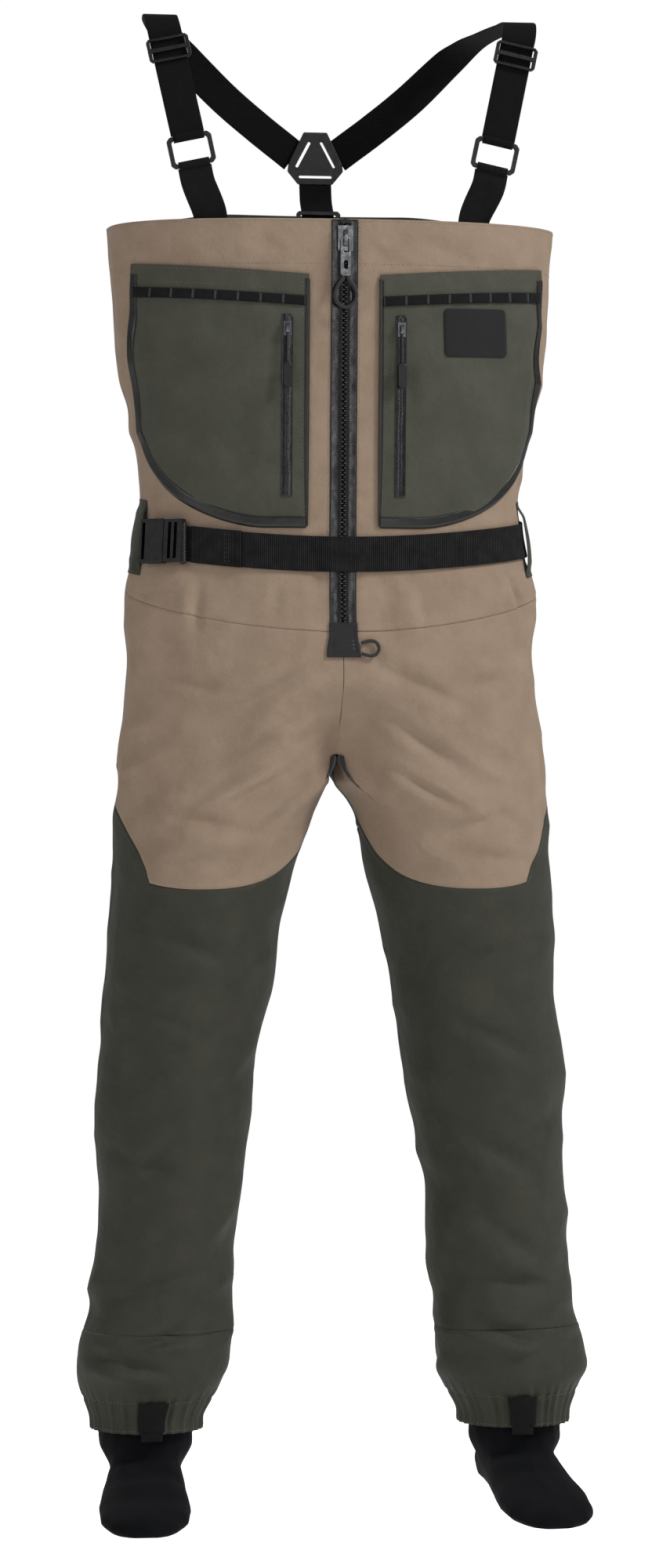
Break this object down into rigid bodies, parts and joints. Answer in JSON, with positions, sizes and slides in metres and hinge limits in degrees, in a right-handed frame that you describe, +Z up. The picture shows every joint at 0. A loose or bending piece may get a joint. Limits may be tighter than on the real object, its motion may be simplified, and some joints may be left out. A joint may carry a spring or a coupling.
{
  "type": "chest waders",
  "caption": "Stocking-foot chest waders: zipped bib with pockets, wading belt, gravel guards, neoprene feet and elastic shoulder straps.",
  "frame": {"origin": "midway between the shoulders, at the height of the straps that hold the waders up", "axes": "+Z up, the front faces -Y, +X is the wearer's left"},
  "size_m": [0.5824, 0.3454, 1.7007],
  "materials": {
    "tan_shell": "matte",
    "olive_shell": "matte",
    "pocket_shell": "matte",
    "webbing": "matte",
    "elastic": "matte",
    "neoprene": "matte",
    "coated_tape": "gloss",
    "moulded_black": "satin",
    "zip_metal": "satin",
    "cord_cover": "matte",
    "hook_loop": "matte"
  },
  "bodies": {
    "garment": {"chest_panel_left": "tan_shell", "chest_panel_right": "tan_shell", "back_panel": "tan_shell", "hip_panel_left": "tan_shell", "hip_panel_right": "tan_shell", "seat_panel_left": "olive_shell", "seat_panel_right": "olive_shell", "shin_panel_left": "olive_shell", "shin_panel_right": "olive_shell", "calf_panel_left": "olive_shell", "calf_panel_right": "olive_shell", "gravel_guard_left": "olive_shell", "gravel_guard_right": "olive_shell", "sock_ankle_left": "neoprene", "sock_ankle_right": "neoprene", "zip_tape_left": "coated_tape", "zip_tape_right": "coated_tape", "zip_teeth": "moulded_black", "zip_base": "coated_tape", "zip_base_loop": "cord_cover", "pocket_left": "pocket_shell", "pocket_right": "pocket_shell", "pocket_daisy_left": "webbing", "pocket_daisy_right": "webbing", "pocket_zip_left": "coated_tape", "pocket_zip_right": "coated_tape", "fly_patch": "hook_loop", "belt_front": "webbing", "belt_back": "webbing", "belt_tail": "webbing", "belt_loop_left": "olive_shell", "belt_loop_right": "olive_shell", "buckle_socket": "moulded_black", "strap_web_left": "webbing", "strap_web_right": "webbing", "ring_left": "moulded_black", "ring_right": "moulded_black", "strap_left": "elastic", "strap_right": "elastic", "yoke": "moulded_black", "back_strap": "elastic", "back_buckle": "moulded_black"},
    "zip_slider": {"zip_slider": "zip_metal"},
    "zip_pull": {"zip_pull": "zip_metal", "zip_pull_loop": "cord_cover"},
    "buckle_plug": {"buckle_plug": "moulded_black"},
    "pocket_slider_left": {"pocket_slider_left": "zip_metal"},
    "pocket_pull_left": {"pocket_cord_left": "cord_cover", "pocket_pull_left": "coated_tape"},
    "adjuster_left": {"adjuster_left": "moulded_black"},
    "foot_left": {"sock_foot_left": "neoprene", "sock_sole_left": "neoprene"},
    "guard_hook_left": {"guard_hook_left": "webbing"},
    "pocket_slider_right": {"pocket_slider_right": "zip_metal"},
    "pocket_pull_right": {"pocket_cord_right": "cord_cover", "pocket_pull_right": "coated_tape"},
    "adjuster_right": {"adjuster_right": "moulded_black"},
    "foot_right": {"sock_foot_right": "neoprene", "sock_sole_right": "neoprene"},
    "guard_hook_right": {"guard_hook_right": "webbing"}
  },
  "joints": [
    {"name": "zip_slide", "type": "slide", "parent": "garment", "child": "zip_slider", "axis": [0, 0.0519, -0.9987], "range_m": [0, 0.235]},
    {"name": "zip_pull_flip", "type": "hinge", "parent": "zip_slider", "child": "zip_pull", "pos_m": [0, -0.13123, -0.24447], "axis": [-1, 0, 0], "range_deg": [0, 150]},
    {"name": "buckle_release", "type": "slide", "parent": "garment", "child": "buckle_plug", "axis": [0.7843, -0.6203, 0], "range_m": [0, 0.032]},
    {"name": "pocket_zip_slide_left", "type": "slide", "parent": "garment", "child": "pocket_slider_left", "axis": [0, 0.0555, -0.9985], "range_m": [0, 0.175]},
    {"name": "pocket_pull_flip_left", "type": "hinge", "parent": "pocket_slider_left", "child": "pocket_pull_left", "pos_m": [0.06472, -0.12553, -0.34545], "axis": [-0.9973, -0.0734, 0], "range_deg": [0, 150]},
    {"name": "adjuster_slide_left", "type": "slide", "parent": "garment", "child": "adjuster_left", "axis": [-0.2102, -0.0841, -0.974], "range_m": [0, 0.075]},
    {"name": "ankle_left", "type": "hinge", "parent": "garment", "child": "foot_left", "pos_m": [0.214, 0, -1.6], "axis": [1, 0, 0], "range_deg": [-15, 25], "deforming": ["sock_ankle_left"]},
    {"name": "guard_hook_flip_left", "type": "hinge", "parent": "garment", "child": "guard_hook_left", "pos_m": [0.20995, -0.0765, -1.551], "axis": [-1, 0, 0], "range_deg": [0, 90]},
    {"name": "pocket_zip_slide_right", "type": "slide", "parent": "garment", "child": "pocket_slider_right", "axis": [0, 0.0555, -0.9985], "range_m": [0, 0.175]},
    {"name": "pocket_pull_flip_right", "type": "hinge", "parent": "pocket_slider_right", "child": "pocket_pull_right", "pos_m": [-0.06472, -0.12553, -0.34545], "axis": [-0.9973, 0.0734, 0], "range_deg": [0, 150]},
    {"name": "adjuster_slide_right", "type": "slide", "parent": "garment", "child": "adjuster_right", "axis": [0.2102, -0.0841, -0.974], "range_m": [0, 0.075]},
    {"name": "ankle_right", "type": "hinge", "parent": "garment", "child": "foot_right", "pos_m": [-0.214, 0, -1.6], "axis": [1, 0, 0], "range_deg": [-15, 25], "deforming": ["sock_ankle_right"]},
    {"name": "guard_hook_flip_right", "type": "hinge", "parent": "garment", "child": "guard_hook_right", "pos_m": [-0.20995, -0.0765, -1.551], "axis": [-1, 0, 0], "range_deg": [0, 90]}
  ]
}
